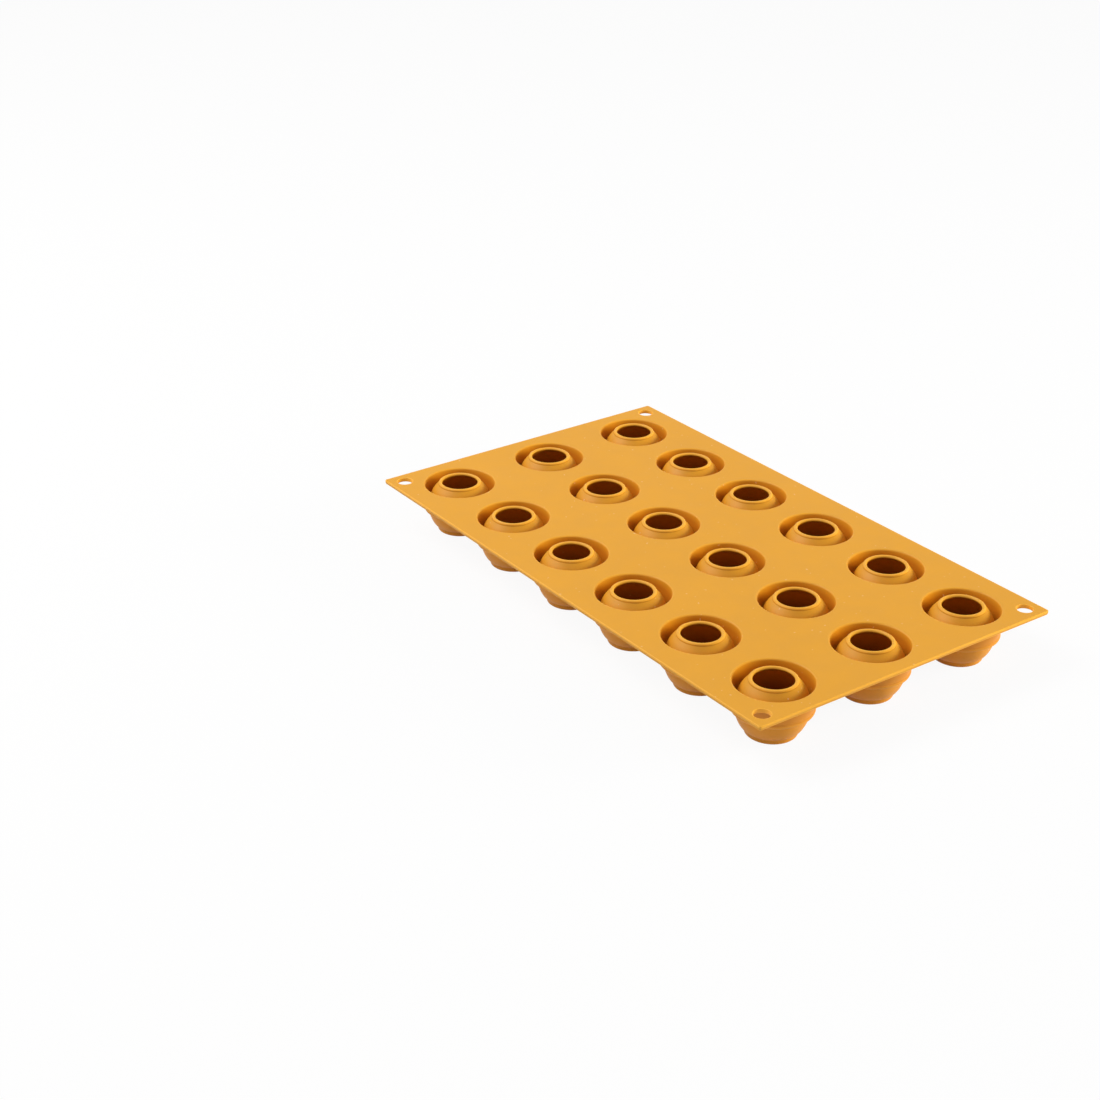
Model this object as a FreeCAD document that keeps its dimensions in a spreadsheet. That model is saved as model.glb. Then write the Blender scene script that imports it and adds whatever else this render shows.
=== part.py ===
import FreeCAD, Part
import math
import os
import re
import Sketcher

# Silicone baking mould: a flat sheet that stands on eighteen cups.
# Each cup holds one ball-shaped cavity that opens through a raised lip.
# Sizes are in millimetres and degrees. The feet stand on z = 0 and the sheet lies over the cups.

NODE_NAME = "tomato_mould"
SHEET_NAME = "Sizes"

SIZES = [
    # the sheet
    ("sheet_width", 175.0),
    ("sheet_length", 300.0),
    ("sheet_corner", 2.0),
    ("sheet_height", 25.6),
    ("web_thickness", 1.3),
    ("edge_round", 0.35),
    # the raised frame on the underside, and the pads that stiffen the corner holes
    ("frame_depth", 0.8),
    ("frame_setback", 0.2),
    ("long_side_width", 3.0),
    ("short_side_width", 4.0),
    ("hole_inset", 7.8),
    ("hole_diameter", 7.8),
    ("hole_pad_radius", 7.0),
    # the grid of cups
    ("column_count", 3),
    ("row_count", 6),
    ("column_pitch", 57.3),
    ("row_pitch", 49.6),
    # the ball-shaped cavity, from its flat floor to the straight bore in its lip
    ("floor_height", 2.0),
    ("floor_radius", 10.85),
    ("cavity_wall", 1.25),
    ("bore_radius", 9.24),
    ("bore_depth", 1.22),
    ("lip_width", 1.9),
    ("lip_bevel", 0.55),
    ("lip_height", 1.0),
    # the recess in the sheet round the cavity's dome
    ("mouth_gap", 1.45),
    ("mouth_bevel", 0.6),
    ("mouth_margin", 1.0),
    ("recess_draft", 6.0),
    ("groove_rise", 2.3),
    # the bead round the cup, and the skirt that runs from it up to the sheet
    ("bead_projection", 2.2),
    ("bead_drop", 1.4),
    ("bead_thickness", 2.2),
    ("bead_bevel", 0.6),
    ("bead_step", 0.35),
    ("skirt_draft", 7.3),
    ("skirt_bevel", 1.2),
    ("collar_margin", 0.5),
    # the foot
    ("foot_radius", 12.0),
    ("foot_bevel", 0.4),
    ("foot_thickness", 1.0),
    ("foot_rim_width", 1.7),
    ("foot_recess", 0.45),
    ("foot_slope", 0.5),
    ("foot_disc_radius", 5.3),
    ("foot_disc_recess", 0.2),
    ("neck_height", 3.0),
]

# Places and radii that follow from the sizes, each a formula of the ones before it.
# The ball is the one sphere that passes through the floor's edge and through the lower end of the bore.
DERIVED = [
    ("web_underside", "sheet_height - web_thickness"),
    ("frame_underside", "web_underside - frame_depth"),
    ("hole_across", "sheet_width / 2 - hole_inset"),
    ("hole_along", "sheet_length / 2 - hole_inset"),
    ("lip_top_height", "sheet_height + lip_height"),
    ("bore_foot_height", "lip_top_height - bore_depth"),
    ("ball_height", "(bore_foot_height^2 + bore_radius^2 - floor_height^2 - floor_radius^2)"
                    " / (2 * (bore_foot_height - floor_height))"),
    ("cavity_radius", "sqrt(floor_radius^2 + (ball_height - floor_height)^2)"),
    ("ball_radius", "cavity_radius + cavity_wall"),
    ("mouth_radius", "ball_radius + mouth_gap"),
    ("groove_height", "ball_height + groove_rise"),
    ("bead_radius", "ball_radius + bead_projection"),
    ("bead_underside", "ball_height - bead_drop"),
]

# how a sketch numbers the points of its curves and its own two axes, which cross at its origin
START, END, CENTRE = range(1, 4)
HORIZONTAL_AXIS, VERTICAL_AXIS = (-1, -2)
ORIGIN = (HORIZONTAL_AXIS, START)

doc = FreeCAD.newDocument(NODE_NAME)


def make_size_sheet():
    """Put every size, and every formula of them, in a spreadsheet cell that carries its name."""
    sheet = doc.addObject("Spreadsheet::Sheet", SHEET_NAME)
    entries = [(name, str(value)) for name, value in SIZES]
    entries += [(name, "=" + formula) for name, formula in DERIVED]
    for row, (name, content) in enumerate(entries, start=1):
        sheet.set("A%d" % row, name)
        sheet.set("B%d" % row, content)
        sheet.setAlias("B%d" % row, name)
    doc.recompute()
    return sheet


sizes = make_size_sheet()


def amount(formula):
    """The value of a sum of named sizes, each of which may be divided by a number."""
    total = 0.0
    sign = 1.0
    for word in formula.split():
        if word in "+-":
            sign = -1.0 if word == "-" else 1.0
        else:
            name, _, divisor = word.partition("/")
            total += sign * float(sizes.get(name)) / float(divisor or 1)
    return total


def named(formula):
    """The same formula as an expression that reads the spreadsheet."""
    return re.sub(r"[a-z]+(?:_[a-z]+)+", lambda word: SHEET_NAME + "." + word.group(), formula)


def origin_feature(body, role):
    """One of the body's own planes or axes."""
    for feature in body.Origin.OriginFeatures:
        if feature.Role == role:
            return feature
    raise ValueError("no origin feature with the role " + role)


def new_sketch(body, name, plane, **offsets):
    """A sketch on one of the body's own planes, moved along its axes by named sizes."""
    sketch = body.newObject("Sketcher::SketchObject", name)
    sketch.AttachmentSupport = (origin_feature(body, plane), [""])
    sketch.MapMode = "FlatFace"
    for axis, formula in offsets.items():
        sketch.setExpression("AttachmentOffset.Base." + axis, named(formula))
    return sketch


def drive(sketch, formula, kind, *references):
    """Add a dimension that follows a formula of named sizes."""
    value = amount(formula)
    expression = named(formula)
    if kind == "Angle":
        value = math.radians(value)
        expression += " * 1 deg"
    index = sketch.addConstraint(Sketcher.Constraint(kind, *references, value))
    sketch.setExpression("Constraints[%d]" % index, expression)


def fix(sketch, kind, *references):
    """Add a geometric constraint that has no size."""
    sketch.addConstraint(Sketcher.Constraint(kind, *references))


def place_point(sketch, piece, point, across, up):
    """Dimension a point from the sketch's origin."""
    drive(sketch, across, "DistanceX", *ORIGIN, piece, point)
    drive(sketch, up, "DistanceY", *ORIGIN, piece, point)


def drive_bevel(sketch, formula, edge, left, low):
    """Dimension a bevel by one size across and up, from its left end and from its low end."""
    for kind, near in (("DistanceX", left), ("DistanceY", low)):
        far = END if near == START else START
        drive(sketch, formula, kind, edge, near, edge, far)


class Outline:
    """A closed chain of lines and arcs, each drawn from the end of the one before."""

    def __init__(self, sketch):
        self.sketch = sketch
        self.pieces = []

    def line(self, start, end):
        segment = Part.LineSegment(FreeCAD.Vector(*start, 0), FreeCAD.Vector(*end, 0))
        return self.add(segment, START, END)

    def arc(self, centre, radius, start_angle, end_angle):
        """An arc that runs anticlockwise if its end angle is the larger, and clockwise if not."""
        circle = Part.Circle(FreeCAD.Vector(*centre, 0), FreeCAD.Vector(0, 0, 1), radius)
        low, high = sorted((start_angle, end_angle))
        curve = Part.ArcOfCircle(circle, low, high)
        if end_angle > start_angle:
            return self.add(curve, START, END)
        return self.add(curve, END, START)

    def add(self, curve, first, last):
        index = self.sketch.addGeometry(curve, False)
        self.pieces.append((index, first, last))
        return index

    def join(self, smooth):
        """Join each piece to the next one, smoothly where both belong to a smooth joint."""
        following = self.pieces[1:] + self.pieces[:1]
        for (index, _, last), (next_index, first, _) in zip(self.pieces, following):
            kind = "Tangent" if (index, next_index) in smooth else "Coincident"
            fix(self.sketch, kind, index, last, next_index, first)


def toward(start, end):
    """The direction from one point to another, as an angle."""
    return math.atan2(end[1] - start[1], end[0] - start[0])


def on_circle(centre, radius, height):
    """The point at a given height on the right-hand half of a circle."""
    return (centre[0] + math.sqrt(radius ** 2 - (height - centre[1]) ** 2), height)


def draw_cup_section(sketch):
    """One closed outline of the whole cup wall, from the sheet round lip, cavity, foot and bead."""
    top = amount("sheet_height")
    underside = amount("web_underside")

    mouth_radius = amount("mouth_radius")
    mouth_bevel = amount("mouth_bevel")
    wall_top = (mouth_radius, top - mouth_bevel)
    groove = amount("groove_height")
    wall_lean = math.tan(math.radians(amount("recess_draft")))
    wall_foot = (mouth_radius - (wall_top[1] - groove) * wall_lean, groove)

    ball = (0.0, amount("ball_height"))
    inner = amount("cavity_radius")
    outer = amount("ball_radius")
    dome_foot = on_circle(ball, outer, groove)
    bore_radius = amount("bore_radius")
    bore_foot = (bore_radius, amount("bore_foot_height"))
    lip_radius = amount("bore_radius + lip_width")
    lip_top = amount("lip_top_height")
    lip_bevel = amount("lip_bevel")
    dome_top = (lip_radius, ball[1] + math.sqrt(outer ** 2 - lip_radius ** 2))
    floor = (amount("floor_radius"), amount("floor_height"))

    disc = (amount("foot_disc_radius"), amount("foot_disc_recess"))
    ring_inner = (amount("foot_disc_radius + foot_slope"), amount("foot_recess"))
    ring_outer = (amount("foot_radius - foot_rim_width - foot_slope"), amount("foot_recess"))
    rim_inner = (amount("foot_radius - foot_rim_width"), 0.0)
    foot_radius = amount("foot_radius")
    foot_bevel = amount("foot_bevel")
    foot_top = (foot_radius, amount("foot_thickness"))
    bowl_foot = on_circle(ball, outer, amount("neck_height"))

    bead_radius = amount("bead_radius")
    bead_underside = amount("bead_underside")
    bead_bevel = amount("bead_bevel")
    bead_step = amount("bead_step")
    bowl_top = on_circle(ball, outer, bead_underside)
    skirt_foot = (bead_radius - bead_step, bead_underside + amount("bead_thickness"))
    skirt_bevel = amount("skirt_bevel")
    skirt_rise = underside - skirt_bevel - skirt_foot[1]
    skirt_lean = math.tan(math.radians(amount("skirt_draft")))
    skirt_top = (skirt_foot[0] + skirt_rise * skirt_lean, underside - skirt_bevel)
    skirt_end = (skirt_top[0] + skirt_bevel, underside)
    collar = skirt_end[0] + amount("collar_margin")

    outline = Outline(sketch)
    sheet_line = outline.line((collar, top), (mouth_radius + mouth_bevel, top))
    mouth_edge = outline.line((mouth_radius + mouth_bevel, top), wall_top)
    recess_wall = outline.line(wall_top, wall_foot)
    groove_line = outline.line(wall_foot, dome_foot)
    dome = outline.arc(ball, outer, toward(ball, dome_foot), toward(ball, dome_top))
    lip_side = outline.line(dome_top, (lip_radius, lip_top - lip_bevel))
    lip_outer_edge = outline.line((lip_radius, lip_top - lip_bevel), (lip_radius - lip_bevel, lip_top))
    lip_line = outline.line((lip_radius - lip_bevel, lip_top), (bore_radius + lip_bevel, lip_top))
    lip_inner_edge = outline.line((bore_radius + lip_bevel, lip_top), (bore_radius, lip_top - lip_bevel))
    bore = outline.line((bore_radius, lip_top - lip_bevel), bore_foot)
    cavity = outline.arc(ball, inner, toward(ball, bore_foot), toward(ball, floor))
    floor_line = outline.line(floor, (0.0, floor[1]))
    axis_line = outline.line((0.0, floor[1]), (0.0, disc[1]))
    disc_line = outline.line((0.0, disc[1]), disc)
    disc_slope = outline.line(disc, ring_inner)
    ring_line = outline.line(ring_inner, ring_outer)
    rim_slope = outline.line(ring_outer, rim_inner)
    rim_line = outline.line(rim_inner, (foot_radius - foot_bevel, 0.0))
    foot_edge = outline.line((foot_radius - foot_bevel, 0.0), (foot_radius, foot_bevel))
    foot_side = outline.line((foot_radius, foot_bevel), foot_top)
    neck_line = outline.line(foot_top, bowl_foot)
    bowl = outline.arc(ball, outer, toward(ball, bowl_foot), toward(ball, bowl_top))
    bead_line = outline.line(bowl_top, (bead_radius - bead_bevel, bead_underside))
    bead_lower_edge = outline.line((bead_radius - bead_bevel, bead_underside),
                                   (bead_radius, bead_underside + bead_bevel))
    bead_side = outline.line((bead_radius, bead_underside + bead_bevel),
                             (bead_radius, skirt_foot[1] - bead_step))
    bead_upper_edge = outline.line((bead_radius, skirt_foot[1] - bead_step), skirt_foot)
    skirt_line = outline.line(skirt_foot, skirt_top)
    skirt_edge = outline.line(skirt_top, skirt_end)
    web_line = outline.line(skirt_end, (collar, underside))
    collar_line = outline.line((collar, underside), (collar, top))

    outline.join(smooth=set())
    for level in (sheet_line, groove_line, lip_line, floor_line, disc_line, ring_line, rim_line,
                  bead_line, web_line):
        fix(sketch, "Horizontal", level)
    for upright in (lip_side, bore, axis_line, foot_side, bead_side, collar_line):
        fix(sketch, "Vertical", upright)

    drive(sketch, "sheet_height", "DistanceY", *ORIGIN, sheet_line, START)
    drive_bevel(sketch, "mouth_bevel", mouth_edge, END, END)
    drive(sketch, "mouth_radius", "DistanceX", *ORIGIN, recess_wall, START)
    drive(sketch, "recess_draft", "Angle", recess_wall, END, VERTICAL_AXIS, START)
    drive(sketch, "groove_height", "DistanceY", *ORIGIN, groove_line, START)

    fix(sketch, "PointOnObject", dome, CENTRE, VERTICAL_AXIS)
    drive(sketch, "ball_height", "DistanceY", *ORIGIN, dome, CENTRE)
    drive(sketch, "ball_radius", "Radius", dome)
    drive(sketch, "cavity_radius", "Radius", cavity)
    fix(sketch, "Equal", bowl, dome)
    for curve in (cavity, bowl):
        fix(sketch, "Coincident", curve, CENTRE, dome, CENTRE)
    drive(sketch, "bore_radius + lip_width", "DistanceX", *ORIGIN, lip_side, START)
    drive_bevel(sketch, "lip_bevel", lip_outer_edge, END, START)
    drive(sketch, "lip_top_height", "DistanceY", *ORIGIN, lip_line, START)
    drive_bevel(sketch, "lip_bevel", lip_inner_edge, END, END)
    drive(sketch, "bore_radius", "DistanceX", *ORIGIN, bore, START)
    drive(sketch, "floor_height", "DistanceY", *ORIGIN, floor_line, END)
    fix(sketch, "PointOnObject", axis_line, START, VERTICAL_AXIS)

    place_point(sketch, disc_line, END, "foot_disc_radius", "foot_disc_recess")
    place_point(sketch, ring_line, START, "foot_disc_radius + foot_slope", "foot_recess")
    drive(sketch, "foot_radius - foot_rim_width - foot_slope", "DistanceX", *ORIGIN, ring_line, END)
    fix(sketch, "PointOnObject", rim_line, START, HORIZONTAL_AXIS)
    drive(sketch, "foot_radius - foot_rim_width", "DistanceX", *ORIGIN, rim_line, START)
    drive_bevel(sketch, "foot_bevel", foot_edge, START, START)
    place_point(sketch, neck_line, START, "foot_radius", "foot_thickness")
    drive(sketch, "neck_height", "DistanceY", *ORIGIN, neck_line, END)

    drive(sketch, "bead_underside", "DistanceY", *ORIGIN, bead_line, END)
    drive_bevel(sketch, "bead_bevel", bead_lower_edge, START, START)
    drive(sketch, "bead_radius", "DistanceX", *ORIGIN, bead_side, START)
    drive_bevel(sketch, "bead_step", bead_upper_edge, END, START)
    drive(sketch, "bead_underside + bead_thickness", "DistanceY", *ORIGIN, skirt_line, START)
    drive(sketch, "skirt_draft", "Angle", skirt_line, START, VERTICAL_AXIS, START)
    drive_bevel(sketch, "skirt_bevel", skirt_edge, START, START)
    drive(sketch, "web_underside", "DistanceY", *ORIGIN, web_line, END)
    drive(sketch, "collar_margin", "DistanceX", web_line, START, web_line, END)


def rectangle(sketch, width, length):
    """A rectangle about the sketch's origin."""
    x = amount(width) / 2
    y = amount(length) / 2
    outline = Outline(sketch)
    front = outline.line((-x, -y), (x, -y))
    right = outline.line((x, -y), (x, y))
    back = outline.line((x, y), (-x, y))
    left = outline.line((-x, y), (-x, -y))
    outline.join(smooth=set())
    for level in (front, back):
        fix(sketch, "Horizontal", level)
    for upright in (left, right):
        fix(sketch, "Vertical", upright)
    fix(sketch, "Symmetric", front, START, back, START, *ORIGIN)
    drive(sketch, width, "DistanceX", front, START, front, END)
    drive(sketch, length, "DistanceY", right, START, right, END)


def pad(body, name, sketch, thickness):
    """Thicken a sketch upward by a named size."""
    feature = body.newObject("PartDesign::Pad", name)
    feature.Profile = sketch
    feature.setExpression("Length", named(thickness))
    doc.recompute()
    return feature


def round_edges(body, name, base, chosen, radius):
    """Round the edges of the last feature that a test picks out."""
    numbered = enumerate(base.Shape.Edges, start=1)
    edges = ["Edge%d" % number for number, edge in numbered if chosen(edge)]
    feature = body.newObject("PartDesign::Fillet", name)
    feature.Base = (base, edges)
    feature.setExpression("Radius", named(radius))
    doc.recompute()
    return feature


def at_corner(edge):
    """True for an upright edge at one of the four corners of the outline."""
    box = edge.BoundBox
    margin = amount("sheet_corner")
    return (box.XLength + box.YLength < box.ZLength
            and abs(box.Center.x) > amount("sheet_width/2") - margin
            and abs(box.Center.y) > amount("sheet_length/2") - margin)


def on_outline(edge):
    """True for an edge of the outline on the sheet's top, or on the bottom of its frame."""
    box = edge.BoundBox
    level = box.ZLength < box.XLength + box.YLength
    slack = amount("frame_setback")
    top = abs(box.Center.z - amount("sheet_height")) < slack
    bottom = abs(box.Center.z - amount("frame_underside")) < slack
    side = amount("sheet_width/2 - sheet_corner")
    end = amount("sheet_length/2 - sheet_corner")
    outside = box.XMax > side or box.XMin < -side or box.YMax > end or box.YMin < -end
    return level and outside and (top or bottom)


def at_hole(edge):
    """True for the round edge at either end of a corner hole."""
    circle = edge.Curve
    return isinstance(circle, Part.Circle) and math.isclose(circle.Radius, amount("hole_diameter/2"))


def make_sheet(body):
    """The sheet and the raised frame along the border of its underside."""
    web = new_sketch(body, "web_outline", "XY_Plane", z="web_underside")
    rectangle(web, "sheet_width", "sheet_length")
    pad(body, "web", web, "web_thickness")

    frame = new_sketch(body, "frame_outline", "XY_Plane", z="frame_underside")
    rectangle(frame, "sheet_width - frame_setback - frame_setback",
              "sheet_length - frame_setback - frame_setback")
    rectangle(frame, "sheet_width - long_side_width - long_side_width",
              "sheet_length - short_side_width - short_side_width")
    framed = pad(body, "frame", frame, "frame_depth")

    cornered = round_edges(body, "rounded_corners", framed, at_corner, "sheet_corner")
    round_edges(body, "rounded_outline", cornered, on_outline, "edge_round")


def draw_hole_pad(sketch):
    """The outline of one corner pad: straight against the frame and round toward the web."""
    centre = (amount("hole_across"), amount("hole_along"))
    radius = amount("hole_pad_radius")
    near = (centre[0] - radius, centre[1] - radius)
    far = (amount("sheet_width/2 - long_side_width/2"), amount("sheet_length/2 - short_side_width/2"))
    outline = Outline(sketch)
    round_side = outline.arc(centre, radius, 3 * math.pi / 2, math.pi)
    left = outline.line((near[0], centre[1]), (near[0], far[1]))
    back = outline.line((near[0], far[1]), far)
    right = outline.line(far, (far[0], near[1]))
    front = outline.line((far[0], near[1]), (centre[0], near[1]))
    outline.join(smooth={(round_side, left), (front, round_side)})
    for level in (front, back):
        fix(sketch, "Horizontal", level)
    for upright in (left, right):
        fix(sketch, "Vertical", upright)
    place_point(sketch, round_side, CENTRE, "hole_across", "hole_along")
    drive(sketch, "hole_pad_radius", "Radius", round_side)
    place_point(sketch, right, START, "sheet_width/2 - long_side_width/2",
                "sheet_length/2 - short_side_width/2")


def circle_sketch(body, name, radius, across, along, height):
    """A sketch of one circle that lies level at a named place."""
    sketch = new_sketch(body, name, "XY_Plane", x=across, y=along, z=height)
    circle = Part.Circle(FreeCAD.Vector(), FreeCAD.Vector(0, 0, 1), amount(radius))
    index = sketch.addGeometry(circle, False)
    fix(sketch, "Coincident", index, CENTRE, *ORIGIN)
    drive(sketch, radius, "Radius", index)
    return sketch


def pocket(body, name, sketch, depth):
    """Cut a sketch downward by a named size, and make sure that it takes material away."""
    before = body.Tip.Shape.Volume
    feature = body.newObject("PartDesign::Pocket", name)
    feature.Profile = sketch
    feature.setExpression("Length", named(depth))
    doc.recompute()
    if not feature.Shape.Volume < before:
        raise RuntimeError(name + " cuts nothing")
    return feature


def make_corner_holes(body):
    """The four corner holes, each through a pad on the underside."""
    outline = new_sketch(body, "hole_pad_outline", "XY_Plane", z="frame_underside")
    draw_hole_pad(outline)
    hole_pad = pad(body, "hole_pad", outline, "frame_depth")
    circle = circle_sketch(body, "hole_circle", "hole_diameter/2", "hole_across", "hole_along",
                           "sheet_height")
    hole = pocket(body, "hole", circle, "web_thickness + frame_depth")

    mirrored = body.newObject("PartDesign::MultiTransform", "four_corners")
    mirrored.Originals = [hole_pad, hole]
    mirrors = []
    for plane in ("YZ_Plane", "XZ_Plane"):
        mirror = body.newObject("PartDesign::Mirrored", "mirror_" + plane)
        mirror.MirrorPlane = (origin_feature(body, plane), [""])
        mirrors.append(mirror)
    mirrored.Transformations = mirrors
    body.Tip = mirrored
    doc.recompute()
    round_edges(body, "rounded_holes", mirrored, at_hole, "edge_round")


def repeat_over_grid(body, name, feature):
    """Repeat a feature of the first cup at every place of the grid."""
    grid = body.newObject("PartDesign::LinearPattern", name)
    grid.Originals = [feature]
    grid.Direction = (origin_feature(body, "X_Axis"), [""])
    grid.Direction2 = (origin_feature(body, "Y_Axis"), [""])
    grid.Mode = "Extent"
    grid.Mode2 = "Extent"
    grid.setExpression("Length", named("column_pitch * (column_count - 1)"))
    grid.setExpression("Length2", named("row_pitch * (row_count - 1)"))
    grid.setExpression("Occurrences", named("column_count"))
    grid.setExpression("Occurrences2", named("row_count"))
    body.Tip = grid
    doc.recompute()


def make_cups(body):
    """One mouth and one cup, repeated over the grid."""
    first_column = "-column_pitch * (column_count - 1) / 2"
    first_row = "-row_pitch * (row_count - 1) / 2"
    circle = circle_sketch(body, "mouth_circle", "mouth_radius + mouth_bevel + mouth_margin",
                           first_column, first_row, "sheet_height")
    mouth = pocket(body, "mouth", circle, "web_thickness")
    repeat_over_grid(body, "mouth_grid", mouth)

    # the upright plane faces the other way along y, so the row's place changes sign on it
    section = new_sketch(body, "cup_section", "XZ_Plane", x=first_column, z="-(" + first_row + ")")
    draw_cup_section(section)
    cup = body.newObject("PartDesign::Revolution", "cup")
    cup.Profile = section
    cup.ReferenceAxis = (section, ["V_Axis"])
    doc.recompute()

    repeat_over_grid(body, "cup_grid", cup)


def make_mould():
    """The whole moulding, in one piece."""
    body = doc.addObject("PartDesign::Body", NODE_NAME)
    body.Label = NODE_NAME
    make_sheet(body)
    make_corner_holes(body)
    make_cups(body)
    return body


def check(body):
    """Stop if any object failed, or if the mould isn't one sound solid."""
    for item in doc.Objects:
        if "Invalid" in item.State or "Error" in item.State:
            raise RuntimeError(item.Name + " is in error")
    shape = body.Shape
    if shape.isNull() or not shape.isValid() or len(shape.Solids) != 1:
        raise RuntimeError("the mould isn't one sound solid")


mould = make_mould()
check(mould)
os.makedirs("parts", exist_ok=True)
mould.Shape.exportStep(os.path.join("parts", mould.Label + ".step"))
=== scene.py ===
import math

import bpy
from bpy.props import FloatProperty, FloatVectorProperty, IntProperty, PointerProperty
from mathutils import Matrix, Vector
from mathutils.geometry import delaunay_2d_cdt


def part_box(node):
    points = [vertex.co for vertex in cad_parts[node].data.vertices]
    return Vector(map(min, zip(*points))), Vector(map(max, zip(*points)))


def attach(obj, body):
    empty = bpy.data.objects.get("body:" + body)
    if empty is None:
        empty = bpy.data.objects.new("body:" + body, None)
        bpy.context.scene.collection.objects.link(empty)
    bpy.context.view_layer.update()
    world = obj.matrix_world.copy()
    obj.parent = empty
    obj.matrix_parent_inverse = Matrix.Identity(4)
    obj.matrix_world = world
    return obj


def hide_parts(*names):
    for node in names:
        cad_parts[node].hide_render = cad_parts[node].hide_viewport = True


bl_info = {
    "name": "Silicone tomato mould",
    "version": (1, 0, 0),
    "blender": (4, 5, 0),
    "location": "3D View > Sidebar > Mould",
    "description": "Builds a flexible baking mould with ball-shaped cavities, and a stage to show it on",
    "category": "Add Mesh",
}

NODE = "tomato_mould"
BODY = "root"
MM = 0.001
SHEET_TOP = 25.6 * MM

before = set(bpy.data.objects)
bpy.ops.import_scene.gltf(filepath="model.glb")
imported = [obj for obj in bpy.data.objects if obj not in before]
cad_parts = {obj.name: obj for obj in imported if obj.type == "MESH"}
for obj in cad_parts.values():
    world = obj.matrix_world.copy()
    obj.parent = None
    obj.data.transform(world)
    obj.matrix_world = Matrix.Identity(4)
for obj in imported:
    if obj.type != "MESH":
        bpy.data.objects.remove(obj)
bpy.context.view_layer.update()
low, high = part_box(NODE)


def length(name, description, default):
    """A size in metres."""
    return FloatProperty(name=name, description=description, default=default, unit="LENGTH", precision=5)


def angle(name, description, degrees):
    """A slope in radians."""
    return FloatProperty(name=name, description=description, default=math.radians(degrees),
                         subtype="ANGLE")


def colour(name, description, default):
    """A linear colour."""
    return FloatVectorProperty(name=name, description=description, default=default, size=3,
                               min=0, max=1, subtype="COLOR")


def number(name, description, default, **limits):
    """A number with its limits, and with a unit where it has one."""
    return FloatProperty(name=name, description=description, default=default, **limits)


class SheetSizes(bpy.types.PropertyGroup):
    """The flat sheet, its raised border and its corner holes."""

    width: length("Width", "Sheet across its short side", high.x - low.x)
    length: length("Length", "Sheet along its long side", high.y - low.y)
    corner: length("Corner", "Radius of the sheet's corners", 1.2 * MM)
    height: length("Height", "Top of the sheet over the feet", SHEET_TOP)
    thickness: length("Thickness", "Sheet between its two faces", 1.3 * MM)
    edge_round: length("Edge round", "Rounding of the outer edges", 0.35 * MM)
    border_depth: length("Border depth", "How far the border stands under the sheet", 0.8 * MM)
    border_setback: length("Border setback", "Border behind the sheet's edge", 0.2 * MM)
    long_border: length("Long border", "Width of the border along the long sides", 3.0 * MM)
    short_border: length("Short border", "Width of the border along the short sides", 4.0 * MM)
    hole_inset: length("Hole inset", "Hole centre from both edges", 7.8 * MM)
    hole_radius: length("Hole radius", "Radius of a corner hole", 3.9 * MM)
    pad_radius: length("Pad radius", "Radius of the thick pad round a hole", 7.0 * MM)
    side_softness: length("Side softness", "Rounding of the long border's inner step", 0.25 * MM)
    end_softness: length("End softness", "Rounding of the short border's inner step", 0.3 * MM)
    columns: IntProperty(name="Columns", description="Cups across the sheet", default=3, min=1)
    rows: IntProperty(name="Rows", description="Cups along the sheet", default=6, min=1)
    column_pitch: length("Column pitch", "Cup to cup across the sheet", 57.3 * MM)
    row_pitch: length("Row pitch", "Cup to cup along the sheet", 49.6 * MM)


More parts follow.
